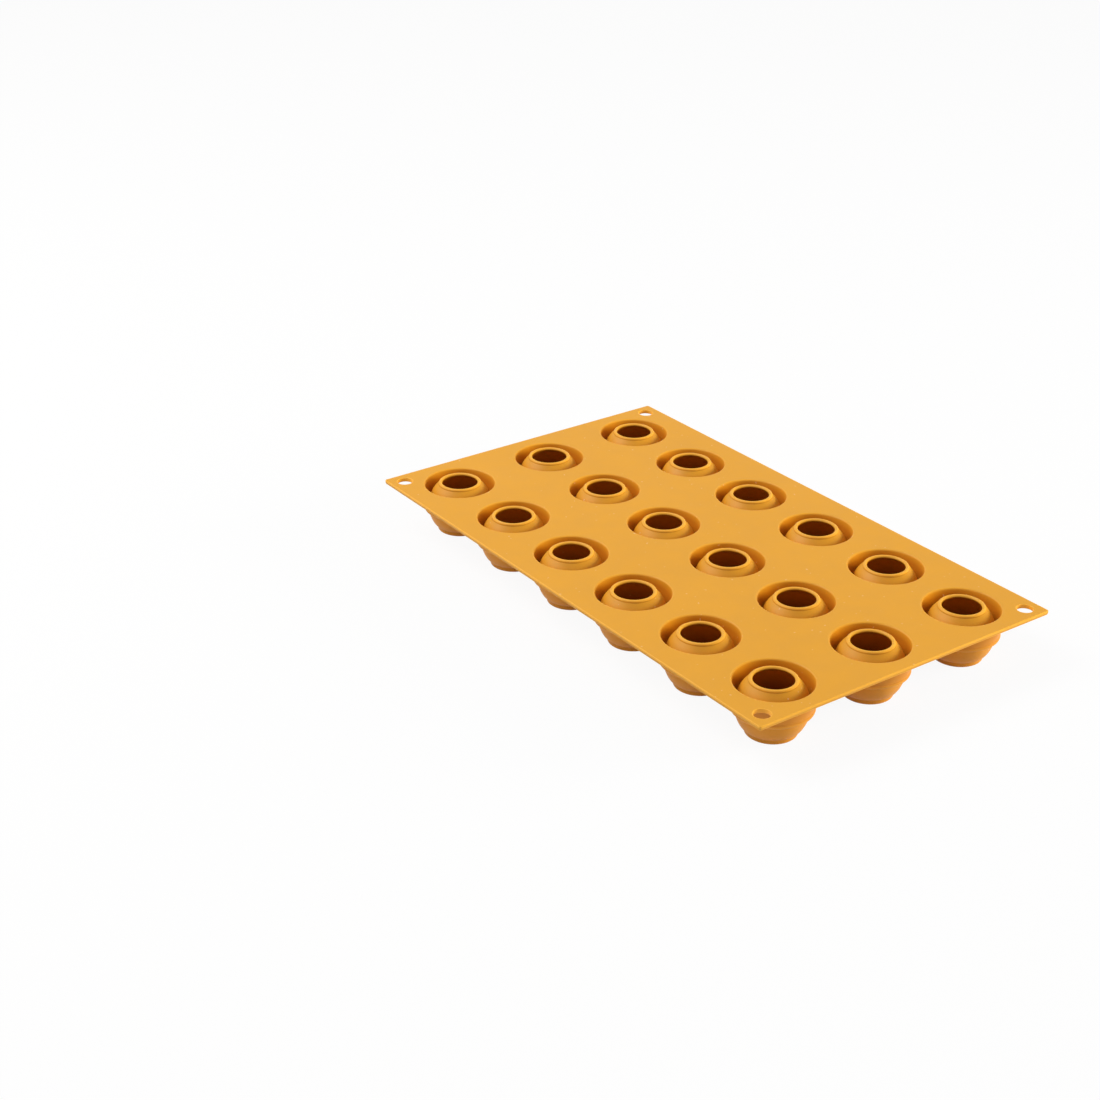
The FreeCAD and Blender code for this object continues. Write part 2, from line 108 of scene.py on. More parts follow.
class CupSizes(bpy.types.PropertyGroup):
    """One cup: the recess, the ball-shaped cavity with its lip, the bead and the foot."""

    mouth_radius: length("Mouth radius", "Top of the recess in the sheet", 18.15 * MM)
    mouth_round: length("Mouth round", "Rounding of the recess's upper edge", 0.9 * MM)
    recess_draft: angle("Recess draft", "Slope of the recess's wall", 6.0)
    groove_height: length("Groove height", "Bottom of the recess over the feet", 15.3 * MM)
    groove_softness: length("Groove softness", "Rounding at the recess's bottom", 0.6 * MM)
    cavity_radius: length("Cavity radius", "Inside of the ball", 15.45 * MM)
    cavity_height: length("Cavity height", "Centre of the ball over the feet", 13.0 * MM)
    wall: length("Wall", "Thickness of the ball's wall", 1.25 * MM)
    floor_height: length("Floor height", "Flat floor of the cavity over the feet", 2.0 * MM)
    floor_softness: length("Floor softness", "Rounding at the floor's edge", 1.5 * MM)
    bore_radius: length("Bore radius", "Opening of the lip", 9.24 * MM)
    lip_round: length("Lip round", "Roll of the lip", 0.95 * MM)
    lip_height: length("Lip height", "Crest of the lip over the sheet", high.z - SHEET_TOP)
    lip_softness: length("Lip softness", "Rounding of the crease round the lip", 0.2 * MM)
    bead_radius: length("Bead radius", "Widest place of the bead", 18.9 * MM)
    bead_round: length("Bead round", "Roll of the bead", 1.3 * MM)
    bead_height: length("Bead height", "Middle of the bead over the feet", 12.9 * MM)
    bead_step: length("Bead step", "Bead past the foot of the skirt", 0.35 * MM)
    bead_softness: length("Bead softness", "Rounding beside the bead", 0.22 * MM)
    skirt_draft: angle("Skirt draft", "Slope of the cup's outer wall", 7.3)
    skirt_round: length("Skirt round", "Rounding where the skirt meets the sheet", 1.2 * MM)
    neck_radius: length("Neck radius", "Crease between the foot and the bowl", 12.1 * MM)
    neck_height: length("Neck height", "Height of that crease", 2.3 * MM)
    bowl_foot: length("Bowl foot", "Where the bowl begins", 3.7 * MM)
    neck_softness: length("Neck softness", "Rounding at the neck", 0.5 * MM)
    foot_radius: length("Foot radius", "Outside of the foot's rim", 12.0 * MM)
    foot_round: length("Foot round", "Outer rounding of the rim", 0.7 * MM)
    rim_width: length("Rim width", "Foot's rim between its edges", 1.7 * MM)
    foot_recess: length("Foot recess", "Depth of the ring inside the rim", 0.45 * MM)
    foot_slope: length("Foot slope", "Width of the slopes beside the ring", 0.5 * MM)
    foot_softness: length("Foot softness", "Rounding of the ring's edges", 0.3 * MM)
    swell_radius: length("Swell radius", "Crest of the low swell in the ring", 7.4 * MM)
    swell_height: length("Swell height", "Height of that swell", 0.12 * MM)
    disc_radius: length("Disc radius", "Disc in the middle of the foot", 5.3 * MM)
    disc_recess: length("Disc recess", "Depth of that disc", 0.2 * MM)


class SiliconeLook(bpy.types.PropertyGroup):
    """Colour and surface of the silicone, with the colours of its painted shade, painted bounce light and
    painted highlights.
    """

    base: colour("Colour", "Plain faces of the silicone", (0.755, 0.341, 0.0155))
    # Painted shade: the darker colour of the recess walls, with a share of it on the skirts' tops and in
    # the creases
    painted_shade: colour("Deep colour", "Walls of the recesses", (0.6, 0.205, 0.005))
    # Painted bounce light: the redder colour of light bounced inside the upper part of the cavities
    throat_bounce: colour("Throat colour", "Upper part of the cavities", (0.86, 0.27, 0.003))
    # Painted bounce light: the redder tone that light bounced between the cups and the sheet gives the
    # cups' outsides
    under: colour("Under colour", "Outside of the cups, below the sheet", (0.74, 0.285, 0.022))
    # Painted shade: the dark colour at the bottom of the cavities, where little light reaches
    well_shade: colour("Well colour", "Bottom of the cavities", (0.24, 0.052, 0.002))
    # Painted highlight: the light colour of the thin rounded edges, where they catch the light
    edge: colour("Edge colour", "Thin rounded edges, which let light through", (0.97, 0.47, 0.045))
    dust: colour("Dust colour", "Fine specks on the surface", (0.9, 0.6, 0.3))
    roughness: number("Roughness", "Roughness of the plain faces", 0.52, min=0, max=1)
    grain: length("Grain", "Height of the fine grain", 0.03 * MM)


class StageLook(bpy.types.PropertyGroup):
    """The floor, the lamps and the camera."""

    floor: colour("Floor", "Colour of the floor", (0.86, 0.85, 0.84))
    whiteness: number("Whiteness", "How white the floor turns for the camera", 0.93, min=0, max=1)
    daylight: number("Daylight", "Strength of the even light all round", 0.38, min=0)
    key: number("Key lamp", "Power of the high lamp", 18.2, min=0, unit="POWER")
    fill: number("Fill lamp", "Power of the low lamp beside the camera", 24.5, min=0, unit="POWER")
    lens: number("Lens", "Focal length of the camera", 64.53, min=1, unit="CAMERA")


def arc(centre, radius, start, end, steps):
    """Points along a circular arc, from one angle to another."""
    turns = [start + (end - start) * index / steps for index in range(steps + 1)]
    return [Vector(centre[:2]) + radius * Vector((math.cos(turn), math.sin(turn))) for turn in turns]


def quarter_turn(steps):
    """Points from (1, 0) to (0, 1) on the unit circle."""
    return arc((0, 0), 1, 0, math.pi / 2, steps)


def bearing(start, end):
    """The direction from one point to another."""
    return math.atan2(end[1] - start[1], end[0] - start[0])


def crossing(centre_a, radius_a, centre_b, radius_b, side):
    """Where two circles cross, on the left (1) or right (-1) of the way from a to b."""
    way = centre_b - centre_a
    along = (way.length_squared + radius_a ** 2 - radius_b ** 2) / (2 * way.length)
    aside = math.sqrt(radius_a ** 2 - along ** 2)
    way.normalize()
    return centre_a + way * along + way.orthogonal() * aside * side


def at_height(centre, radius, height):
    """The point at a given height on the right half of a circle."""
    return Vector((centre.x + math.sqrt(radius ** 2 - (height - centre.y) ** 2), height))


def trimmed(points, amount):
    """A run of points without its last stretch of the given length."""
    kept = list(points)
    while len(kept) > 1:
        stretch = (kept[-1] - kept[-2]).length
        if stretch > amount:
            kept[-1] = kept[-1].lerp(kept[-2], amount / stretch)
            break
        amount -= stretch
        kept.pop()
    return kept


def softened(first, second, cut, steps=3):
    """Two runs that meet in a corner, joined by a small curve that begins and ends one cut from it."""
    if not cut:
        return first + second[1:]
    corner = first[-1]
    before = trimmed(first, cut)
    after = trimmed(second[::-1], cut)[::-1]
    curve = []
    for index in range(1, steps):
        way = index / steps
        curve.append(before[-1].lerp(corner, way).lerp(corner.lerp(after[0], way), way))
    return before + curve + after


class CupSection:
    """The section of one cup as two runs of points: over the cavity and under the cup."""

    # A flat band beside a round, which keeps the shading of the flat face beyond it even
    SUPPORT = 0.25 * MM
    BORE_SOFTNESS = 0.22 * MM
    # How much longer the curve is on the outer side of the foot's swell
    SWELL_SPREAD = 3
    # Where a straight wall has its points, from its start to its end
    WALL_SHARES = (0.33, 0.67, 1.0)
    SKIRT_SHARES = (0.0, 0.5, 1.0)
    # Stretches in each curve and arc
    TIGHT_STEPS = 2
    SMALL_STEPS = 5
    DOME_STEPS = 6
    ROLL_STEPS = 7
    CAVITY_STEPS = 10

    def __init__(self, sheet, cup):
        self.sheet = sheet
        self.cup = cup
        self.ball = Vector((0.0, cup.cavity_height))
        self.outer = cup.cavity_radius + cup.wall

    def upper(self):
        """From the sheet's top down the recess, over the dome and lip and down to the cavity's floor."""
        cup = self.cup
        ball = self.ball
        top = self.sheet.height
        slope = math.pi - cup.recess_draft
        mouth = Vector((cup.mouth_radius + cup.mouth_round, top - cup.mouth_round))
        wall_top = mouth + cup.mouth_round * Vector((math.cos(slope), math.sin(slope)))
        groove = cup.groove_height
        wall_foot = Vector((wall_top.x - (wall_top.y - groove) * math.tan(cup.recess_draft), groove))
        dome_foot = at_height(ball, self.outer, groove)
        lip = Vector((cup.bore_radius + cup.lip_round, top + cup.lip_height - cup.lip_round))
        dome_top = crossing(ball, self.outer, lip, cup.lip_round, -1)
        bore_angle = math.acos(cup.bore_radius / cup.cavity_radius)
        bore_foot = ball + cup.cavity_radius * Vector((math.cos(bore_angle), math.sin(bore_angle)))
        floor = at_height(ball, cup.cavity_radius, cup.floor_height)

        run = [Vector((mouth.x + self.SUPPORT, top))]
        run += arc(mouth, cup.mouth_round, math.pi / 2, slope, self.SMALL_STEPS)
        wall = [wall_top.lerp(wall_foot, share) for share in self.WALL_SHARES]
        run = softened(run + wall, [wall_foot, dome_foot], cup.groove_softness)
        dome = arc(ball, self.outer, bearing(ball, dome_foot), bearing(ball, dome_top), self.DOME_STEPS)
        run = softened(run, dome, cup.groove_softness)
        roll = arc(lip, cup.lip_round, bearing(lip, dome_top), math.pi, self.ROLL_STEPS)
        run = softened(run, roll, cup.lip_softness) + [bore_foot]
        cavity = arc(ball, cup.cavity_radius, bore_angle, bearing(ball, floor), self.CAVITY_STEPS)
        run = softened(run, cavity, self.BORE_SOFTNESS, self.TIGHT_STEPS)
        return softened(run, [floor, Vector((0.0, floor.y))], cup.floor_softness)

    def lower(self):
        """From the foot's middle out over its rim, then up the bowl, the bead and the skirt."""
        cup = self.cup
        ball = self.ball
        underside = self.sheet.height - self.sheet.thickness
        disc = Vector((cup.disc_radius, cup.disc_recess))
        ring_inner = Vector((cup.disc_radius + cup.foot_slope, cup.foot_recess))
        swell = Vector((cup.swell_radius, cup.foot_recess - cup.swell_height))
        ring_outer = Vector((cup.foot_radius - cup.rim_width - cup.foot_slope, cup.foot_recess))
        rim_inner = Vector((cup.foot_radius - cup.rim_width, 0.0))
        rim = Vector((cup.foot_radius - cup.foot_round, cup.foot_round))
        neck = Vector((cup.neck_radius, cup.neck_height))
        bowl_foot = at_height(ball, self.outer, cup.bowl_foot)
        bead = Vector((cup.bead_radius - cup.bead_round, cup.bead_height))
        bowl_top = crossing(ball, self.outer, bead, cup.bead_round, -1)
        bead_end = math.acos(1 - cup.bead_step / cup.bead_round)
        skirt_foot = bead + cup.bead_round * Vector((math.cos(bead_end), math.sin(bead_end)))
        draft = cup.skirt_draft
        rise = underside - cup.skirt_round * (1 - math.sin(draft)) - skirt_foot.y
        skirt_top = skirt_foot + Vector((rise * math.tan(draft), rise))
        skirt = skirt_top + cup.skirt_round * Vector((math.cos(draft), -math.sin(draft)))

        soft = cup.foot_softness
        tight = self.TIGHT_STEPS
        run = softened([Vector((0.0, disc.y)), disc], [disc, ring_inner], soft, tight)
        run = softened(run, [ring_inner, swell], soft, tight)
        run = softened(run, [swell, ring_outer], self.SWELL_SPREAD * soft)
        run = softened(run, [ring_outer, rim_inner], soft, tight)
        run = softened(run, [rim_inner, Vector((rim.x, 0.0))], soft, tight)
        run = run[:-1] + arc(rim, cup.foot_round, -math.pi / 2, 0.0, self.SMALL_STEPS) + [neck]
        run = softened(run, [neck, bowl_foot], cup.neck_softness)
        bowl = arc(ball, self.outer, bearing(ball, bowl_foot), bearing(ball, bowl_top), self.DOME_STEPS)
        run = softened(run, bowl, cup.neck_softness)
        roll = arc(bead, cup.bead_round, bearing(bead, bowl_top), bead_end, self.ROLL_STEPS)
        run = softened(run, roll, cup.bead_softness, tight)
        wall = [skirt_foot.lerp(skirt_top, share) for share in self.SKIRT_SHARES]
        run = softened(run, wall, cup.bead_softness, tight)
        run = run[:-1] + arc(skirt, cup.skirt_round, math.pi - draft, math.pi / 2, self.SMALL_STEPS)
        return run + [Vector((skirt.x + self.SUPPORT, underside))]


def inside(outline, place):
    """True where a point lies inside a closed outline."""
    within = False
    previous = outline[-1]
    for corner in outline:
        if (corner.y > place.y) != (previous.y > place.y):
            share = (place.y - previous.y) / (corner.y - previous.y)
            if place.x < previous.x + share * (corner.x - previous.x):
                within = not within
        previous = corner
    return within


def bends(run, scale):
    """How sharply a run bends at each point: 1 at a round as tight as the scale, below 0 in a crease."""
    sharp = [0.0]
    for before, place, after in zip(run, run[1:], run[2:]):
        back = place - before
        onward = after - place
        turn = math.atan2(back.cross(onward), back.dot(onward))
        sharp.append(scale * turn * 2 / (back.length + onward.length))
    return [max(-1.0, min(1.0, bend)) for bend in sharp + [0.0]]


class Skin:
    """Vertices and faces of one closed surface, with two marks for each vertex.

    Depth is 0 on the flat faces, rises to 1 at a cavity's floor, and is below 0 on a cup's outside;
    it sets the painted shade and the painted bounce colour.
    Edge is 1 on the tightest rounds and below 0 in a crease; it sets painted highlights and painted shade.
    """

    # Both marks steer only the painted shade, painted bounce colour and painted highlights in the colour
    MARKS = ("depth", "edge")
    TRIANGLES = 0
    SAME_PLACE = 1e-9

    def __init__(self):
        self.vertices = []
        self.faces = []
        self.marks = []

    def add(self, x, y, z, marks=(0.0, 0.0)):
        """Adds a vertex and gives its number."""
        self.vertices.append(Vector((x, y, z)))
        self.marks.append(marks)
        return len(self.vertices) - 1

    def ring(self, centre, radius, height, count, marks=(0.0, 0.0)):
        """A level circle of vertices."""
        x, y = centre
        turns = [2 * math.pi * index / count for index in range(count)]
        return [self.add(x + radius * math.cos(turn), y + radius * math.sin(turn), height, marks)
                for turn in turns]

    def loop(self, outline, height, marks=(0.0, 0.0)):
        """A level outline of vertices."""
        return [self.add(x, y, height, marks) for x, y in outline]

    def bridge(self, first, second):
        """Quads between two loops of the same count."""
        for index in range(len(first)):
            self.faces.append((first[index - 1], first[index], second[index], second[index - 1]))

    def cap(self, ring, pole, up):
        """Triangles from a ring to one vertex in its middle."""
        for index in range(len(ring)):
            corner = (ring[index - 1], ring[index], pole)
            self.faces.append(corner if up else corner[::-1])

    def plate(self, outer, inners, height, spares, up):
        """A flat face between an outer loop and the loops inside it, with spare points on it."""
        owners = []
        edges = []
        for loop in [outer] + inners:
            start = len(owners)
            owners += loop
            edges += [(start + index, start + (index + 1) % len(loop)) for index in range(len(loop))]
        places = [self.vertices[owner].to_2d() for owner in owners]
        places += [Vector(spare) for spare in spares]
        flat, _, faces, origins, _, _ = delaunay_2d_cdt(places, edges, [], self.TRIANGLES, self.SAME_PLACE)
        made = []
        for place, sources in zip(flat, origins):
            known = [owners[source] for source in sources if source < len(owners)]
            made.append(known[0] if known else self.add(place.x, place.y, height))
        border = [self.vertices[owner].to_2d() for owner in outer]
        openings = [[self.vertices[owner].to_2d() for owner in loop] for loop in inners]
        for face in faces:
            middle = sum((flat[index] for index in face), Vector((0.0, 0.0))) / len(face)
            in_opening = any(inside(opening, middle) for opening in openings)
            if in_opening or not inside(border, middle):
                continue
            a, b, c = (flat[index] for index in face)
            turned = ((b - a).cross(c - a) > 0) != up
            corners = [made[index] for index in face]
            self.faces.append(corners[::-1] if turned else corners)


class MouldSurface:
    """The whole moulding as one closed skin."""

    # Stretches in each circle and arc
    SEGMENTS = 50
    HOLE_SEGMENTS = 40
    EDGE_STEPS = 3
    BORDER_STEPS = 4
    CORNER_STEPS = 6
    PAD_STEPS = 10
    # The points on the flat faces: from one to the next, and from one to a cup
    SPACING = 5 * MM
    MARGIN = 1.2 * MM
    PARTING_LINE = 0.06 * MM
    # Depth marks, for painted shade and painted bounce colour: in the recess, how fast they grow on the
    # way down to it, and under the sheet
    RECESS_DEPTH = 0.5
    WALL_FALL = 3.0
    DOME_FALL = 0.45
    CAVITY_MARGIN = 0.3 * MM
    BOWL_SHADE = -0.7
    SKIRT_SHADES = (-0.9, -1.4)
    # Edge marks, for painted highlights: the roundness that counts in full, and how strongly each part of
    # a cup shows it
    EDGE_SCALE = 0.7 * MM
    WALL_EDGE = 0.4
    DOME_EDGE = 0.9
    UNDER_EDGE = 0.35
    # The edge marks on the sheet's sides and holes: painted highlights on the rounded edges and painted
    # shade in the parting line's crease
    TOP_EDGE = 1.0
    BOTTOM_EDGE = 0.6
    PARTING_CREASE = -1.0

    def __init__(self, sheet, cup):
        self.sheet = sheet
        self.cup = cup
        self.skin = Skin()
        self.half = Vector((sheet.width / 2, sheet.length / 2))
        across = sheet.column_pitch
        along = sheet.row_pitch
        middle_column = (sheet.columns - 1) / 2
        middle_row = (sheet.rows - 1) / 2
        self.centres = [((column - middle_column) * across, (row - middle_row) * along)
                        for row in range(sheet.rows) for column in range(sheet.columns)]
        self.hole = self.half - Vector((sheet.hole_inset, sheet.hole_inset))
        self.holes = [(x * self.hole.x, y * self.hole.y) for x in (-1, 1) for y in (-1, 1)]

    def build(self):
        """Cups, border, holes and the flat faces between them."""
        sheet = self.sheet
        underside = sheet.height - sheet.thickness
        bottom = underside - sheet.border_depth
        section = CupSection(sheet, self.cup)
        upper = section.upper()
        lower = section.lower()
        upper_marks = self.upper_marks(upper)
        lower_marks = self.lower_marks(lower)
        mouths = [self.spin_down(centre, upper, upper_marks) for centre in self.centres]
        skirts = [self.spin_up(centre, lower, lower_marks) for centre in self.centres]
        outer_bottom, outer_top = self.border(underside, bottom)
        hole_tops, hole_bottoms = self.corner_holes(bottom)
        web_edge, border_edge = self.border_step(underside)
        skin = self.skin
        on_top = self.spare_points(upper[0].x, 0.0)
        skin.plate(outer_top, mouths + hole_tops, sheet.height, on_top, True)
        under_web = self.spare_points(lower[-1].x, sheet.pad_radius + 2 * sheet.hole_inset)
        skin.plate(web_edge, skirts, underside, under_web, False)
        skin.plate(outer_bottom, [border_edge] + hole_bottoms, bottom, [], False)
        return skin

    def upper_marks(self, run):
        """Marks along the section over the cup.

        The recess has the depth that the cavity starts from, so that its painted shade runs on into the
        cavity's. Its wall gets there sooner than the dome.
        The rounds get painted highlights on the wall and the dome, and not in the dark cavity.
        """
        cup = self.cup
        reach = self.sheet.height - cup.floor_height
        ball = Vector((0.0, cup.cavity_height))
        dome_radius = cup.cavity_radius + cup.wall
        wall_side = (cup.mouth_radius + dome_radius) / 2
        start = self.RECESS_DEPTH
        marks = []
        for place, bend in zip(run, bends(run, self.EDGE_SCALE)):
            fall = max(0.0, self.sheet.height - place.y) / reach
            if (place - ball).length < cup.cavity_radius + self.CAVITY_MARGIN:
                marks.append((start + (1.0 - start) * min(1.0, fall), 0.0))
            elif place.x > wall_side:
                marks.append((min(start, self.WALL_FALL * fall), bend * self.WALL_EDGE))
            else:
                marks.append((min(start, self.DOME_FALL * fall), bend * self.DOME_EDGE))
        return marks

    def lower_marks(self, run):
        """Marks along the section under the cup.

        The depth is below zero, for the painted bounce tone and the painted shade under the sheet, and
        lowest at the skirt's top, where the painted shade is darkest. The rounds show faint painted
        highlights.
        The last ring lies in the web's flat underside and has no marks.
        """
        bead = self.cup.bead_height
        low_shade, high_shade = self.SKIRT_SHADES
        marks = []
        for place, bend in zip(run, bends(run, self.EDGE_SCALE)):
            rise = (place.y - bead) / (run[-1].y - bead)
            shade = self.BOWL_SHADE if rise < 0 else low_shade + (high_shade - low_shade) * rise
            marks.append((shade, bend * self.UNDER_EDGE))
        return marks[:-1] + [(0.0, 0.0)]

    def spin_down(self, centre, run, marks):
        """Turns a section that ends on the cup's axis, and gives its first ring."""
        skin = self.skin
        first = previous = None
        for place, mark in list(zip(run, marks))[:-1]:
            ring = skin.ring(centre, place.x, place.y, self.SEGMENTS, mark)
            if first is None:
                first = ring
            else:
                skin.bridge(previous, ring)
            previous = ring
        skin.cap(previous, skin.add(*centre, run[-1].y, marks[-1]), True)
        return first

    def spin_up(self, centre, run, marks):
        """Turns a section that starts on the cup's axis, and gives its last ring."""
        skin = self.skin
        pole = skin.add(*centre, run[0].y, marks[0])
        previous = skin.ring(centre, run[1].x, run[1].y, self.SEGMENTS, marks[1])
        skin.cap(previous, pole, False)
        for place, mark in list(zip(run, marks))[2:]:
            ring = skin.ring(centre, place.x, place.y, self.SEGMENTS, mark)
            skin.bridge(previous, ring)
            previous = ring
        return previous

    def border(self, underside, bottom):
        """The outer side of the sheet, with its parting line, from its bottom loop to its top loop."""
        sheet = self.sheet
        edge = sheet.edge_round
        back = sheet.border_setback
        top = sheet.height
        support = CupSection.SUPPORT
        fine = self.PARTING_LINE
        quarter = quarter_turn(self.EDGE_STEPS)
        steps = [(back + edge + support, bottom, 0.0)]
        steps += [(back + edge * (1 - p.y), bottom + edge * (1 - p.x), self.BOTTOM_EDGE) for p in quarter]
        steps.append((back, underside - 2 * fine, self.PARTING_CREASE))
        steps.append((fine, underside, self.PARTING_CREASE))
        steps.append((0.0, underside + fine, 0.0))
        steps += [(edge * (1 - p.x), top - edge * (1 - p.y), self.TOP_EDGE) for p in quarter]
        steps.append((edge + support, top, 0.0))
        loops = [self.skin.loop(self.rounded_outline(setback), height, (0.0, bend))
                 for setback, height, bend in steps]
        for first, second in zip(loops, loops[1:]):
            self.skin.bridge(first, second)
        return loops[0], loops[-1]

    def rounded_outline(self, setback):
        """The sheet's outline with round corners, moved inward."""
        radius = self.sheet.corner - setback
        reach = self.half - Vector((self.sheet.corner, self.sheet.corner))
        outline = []
        for quarter, (x, y) in enumerate(((1, 1), (-1, 1), (-1, -1), (1, -1))):
            start = quarter * math.pi / 2
            middle = (x * reach.x, y * reach.y)
            outline += arc(middle, radius, start, start + math.pi / 2, self.CORNER_STEPS)
        return outline

    def corner_holes(self, bottom):
        """The walls of the corner holes, with their top and bottom rings."""
        sheet = self.sheet
        edge = sheet.edge_round
        top = sheet.height
        quarter = quarter_turn(self.EDGE_STEPS)
        steps = [(edge + CupSection.SUPPORT, top, 0.0)]
        steps += [(edge * (1 - p.y), top - edge * (1 - p.x), self.TOP_EDGE) for p in quarter]
        steps += [(edge * (1 - p.x), bottom + edge * (1 - p.y), self.BOTTOM_EDGE) for p in quarter]
        steps.append((edge + CupSection.SUPPORT, bottom, 0.0))
        radius = sheet.hole_radius
        tops = []
        bottoms = []
        for centre in self.holes:
            rings = [self.skin.ring(centre, radius + out, height, self.HOLE_SEGMENTS, (0.0, bend))
                     for out, height, bend in steps]
            for first, second in zip(rings, rings[1:]):
                self.skin.bridge(first, second)
            tops.append(rings[0])
            bottoms.append(rings[-1])
        return tops, bottoms

    def border_step(self, underside):
        """The step from the web down to the border and the pads, with its first and last loops."""
        sides = self.step_profile(self.sheet.side_softness)
        ends = self.step_profile(self.sheet.end_softness)
        loops = [self.skin.loop(self.inner_outline(side, end), underside - drop)
                 for (side, drop), (end, _) in zip(sides, ends)]
        for first, second in zip(loops, loops[1:]):
            self.skin.bridge(first, second)
        return loops[0], loops[-1]

    def step_profile(self, soft):
        """Places across the step and below the web. The drop is the same for any softness."""
        drop = self.sheet.border_depth
        half = drop / 2
        quarter = quarter_turn(self.BORDER_STEPS)
        places = [(2 * soft, 0.0)]
        places += [(soft * (1 - p.y), half * (1 - p.x)) for p in quarter]
        places += [(soft * (p.x - 1), drop - half * (1 - p.y)) for p in quarter[1:]]
        return places + [(-2 * soft, drop)]

    def inner_outline(self, side, end):
        """The border's inner outline, which goes round the corner pads, moved toward the web."""
        sheet = self.sheet
        x = self.half.x - sheet.long_border - side
        y = self.half.y - sheet.short_border - end
        hole = self.hole
        radius = sheet.pad_radius + side
        corner = [Vector((x, hole.y - radius))]
        corner += arc(hole, radius, -math.pi / 2, -math.pi, self.PAD_STEPS)
        corner.append(Vector((hole.x - radius, y)))
        outline = []
        for turn, (a, b) in enumerate(((1, 1), (-1, 1), (-1, -1), (1, -1))):
            points = [Vector((a * p.x, b * p.y)) for p in corner]
            outline += points[::-1] if turn % 2 else points
        return outline

    def spare_points(self, reach, corner):
        """Points spread over the flat face, clear of the cups, the border and the corners."""
        spacing = self.SPACING
        sheet = self.sheet
        keep = max(corner, sheet.hole_radius + spacing / 2)
        columns = int((self.half.x - sheet.short_border - spacing / 2) / spacing)
        rows = int((self.half.y - sheet.short_border - spacing / 2) / spacing)
        spares = []
        for column in range(-columns, columns + 1):
            for row in range(-rows, rows + 1):
                place = (column * spacing, row * spacing)
                clear = all(math.dist(place, centre) > reach + self.MARGIN for centre in self.centres)
                if clear and all(math.dist(place, hole) > keep for hole in self.holes):
                    spares.append(place)
        return spares


class Socket:
    """One output of a node, with the sums that shader maths needs."""

    # The Mix node's colour sockets, which have to be picked by number
    FIRST_COLOUR = 6
    SECOND_COLOUR = 7
    MIXED_COLOUR = 2

    def __init__(self, tree, output):
        self.tree = tree
        self.output = output

    def node(self, kind, settings=None, sockets=None):
        """Adds a node: its settings come first, then the values or links of its inputs."""
        made = self.tree.nodes.new(kind)
        for name, value in (settings or {}).items():
            setattr(made, name, value)
        for name, value in (sockets or {}).items():
            if isinstance(value, Socket):
                self.tree.links.new(value.output, made.inputs[name])
            else:
                made.inputs[name].default_value = value
        return made

    def out(self, kind, output, settings=None, sockets=None):
        """One output of a new node."""
        return Socket(self.tree, self.node(kind, settings, sockets).outputs[output])

    def maths(self, operation, first, second=0.0, clamp=False):
        """A Math node on two values."""
        return self.out("ShaderNodeMath", "Value", {"operation": operation, "use_clamp": clamp},
                        {0: first, 1: second})

    def __add__(self, other):
        return self.maths("ADD", self, other)

    def __radd__(self, other):
        return self.maths("ADD", other, self)

    def __sub__(self, other):
        return self.maths("SUBTRACT", self, other)

    def __rsub__(self, other):
        return self.maths("SUBTRACT", other, self)

    def __mul__(self, other):
        return self.maths("MULTIPLY", self, other)

    def __rmul__(self, other):
        return self.maths("MULTIPLY", other, self)

    def clamped(self):
        """This value, held between 0 and 1."""
        return self.maths("ADD", self, 0.0, clamp=True)

    def spread(self, start, end):
        """0 up to the start, 1 from the end on, and smooth between them."""
        return self.out("ShaderNodeMapRange", "Result", {"interpolation_type": "SMOOTHSTEP"},
                        {"Value": self, "From Min": start, "From Max": end})

    def mix(self, first, second):
        """A colour mixed by this value."""
        return self.out("ShaderNodeMix", self.MIXED_COLOUR, {"data_type": "RGBA"},
                        {0: self, self.FIRST_COLOUR: first, self.SECOND_COLOUR: second})

    def cloud(self, scale, detail):
        """A cloudy pattern over this place."""
        return self.out("ShaderNodeTexNoise", "Fac", None,
                        {"Vector": self, "Scale": scale, "Detail": detail})


def new_material(name):
    """A material with an empty tree, and a socket maker for it."""
    material = bpy.data.materials.new(name)
    material.use_nodes = True
    material.node_tree.nodes.clear()
    return material, Socket(material.node_tree, None)


def finish_material(nodes, surface):
    """Gives a material its surface."""
    nodes.node("ShaderNodeOutputMaterial", None, {"Surface": surface})


def solid(rgb, share=1.0):
    """A colour, or a share of its brightness, with its alpha."""
    return tuple(value * share for value in rgb) + (1.0,)


class SiliconeShades:
    """How the silicone's colours follow its patterns, and how its painted shade, bounce colour and
    highlights follow the skin's marks.
    """

    # Scale and detail of each pattern
    MOTTLE = (90.0, 3.0)
    SWEEP = (22.0, 2.0)
    GRAIN = (2600.0, 2.0)
    FLECK = (640.0, 0.0)
    # How much each pattern counts, and how far the plain colour follows them
    MOTTLE_SHARE = 0.35
    SWEEP_SHARE = 0.35
    GRAIN_SHARE = 0.3
    LIGHT_RANGE = (0.3, 0.7)
    DARK_TONE = 0.96
    LIGHT_TONE = 1.025
    # The shade on the skirts, which starts at a depth below zero and grows down to the skirt's top
    SHADE_START = -0.9
    SHADE_RATE = 1.6
    SHADE_TONE = 0.7
    # The depths over which the recess's painted shade turns to the painted bounce colour of the cavity's
    # upper part and on to the darker painted shade of its floor
    THROAT_RANGE = (0.5, 0.56)
    WELL_RANGE = (0.56, 0.86)
    # Painted highlights on rounds, painted shade in creases, and dust flecks
    EDGE_SHARE = 0.8
    CREASE_SHARE = 0.5
    CREASE_TONE = 0.75
    FLECK_RANGE = (0.83, 0.87)
    FLECK_SHARE = 0.5
    # The surface
    BUMP_STRENGTH = 0.35
    ROUGHNESS_CHANGE = 0.1
    MIDDLE = 0.5
    REFRACTION = 1.41


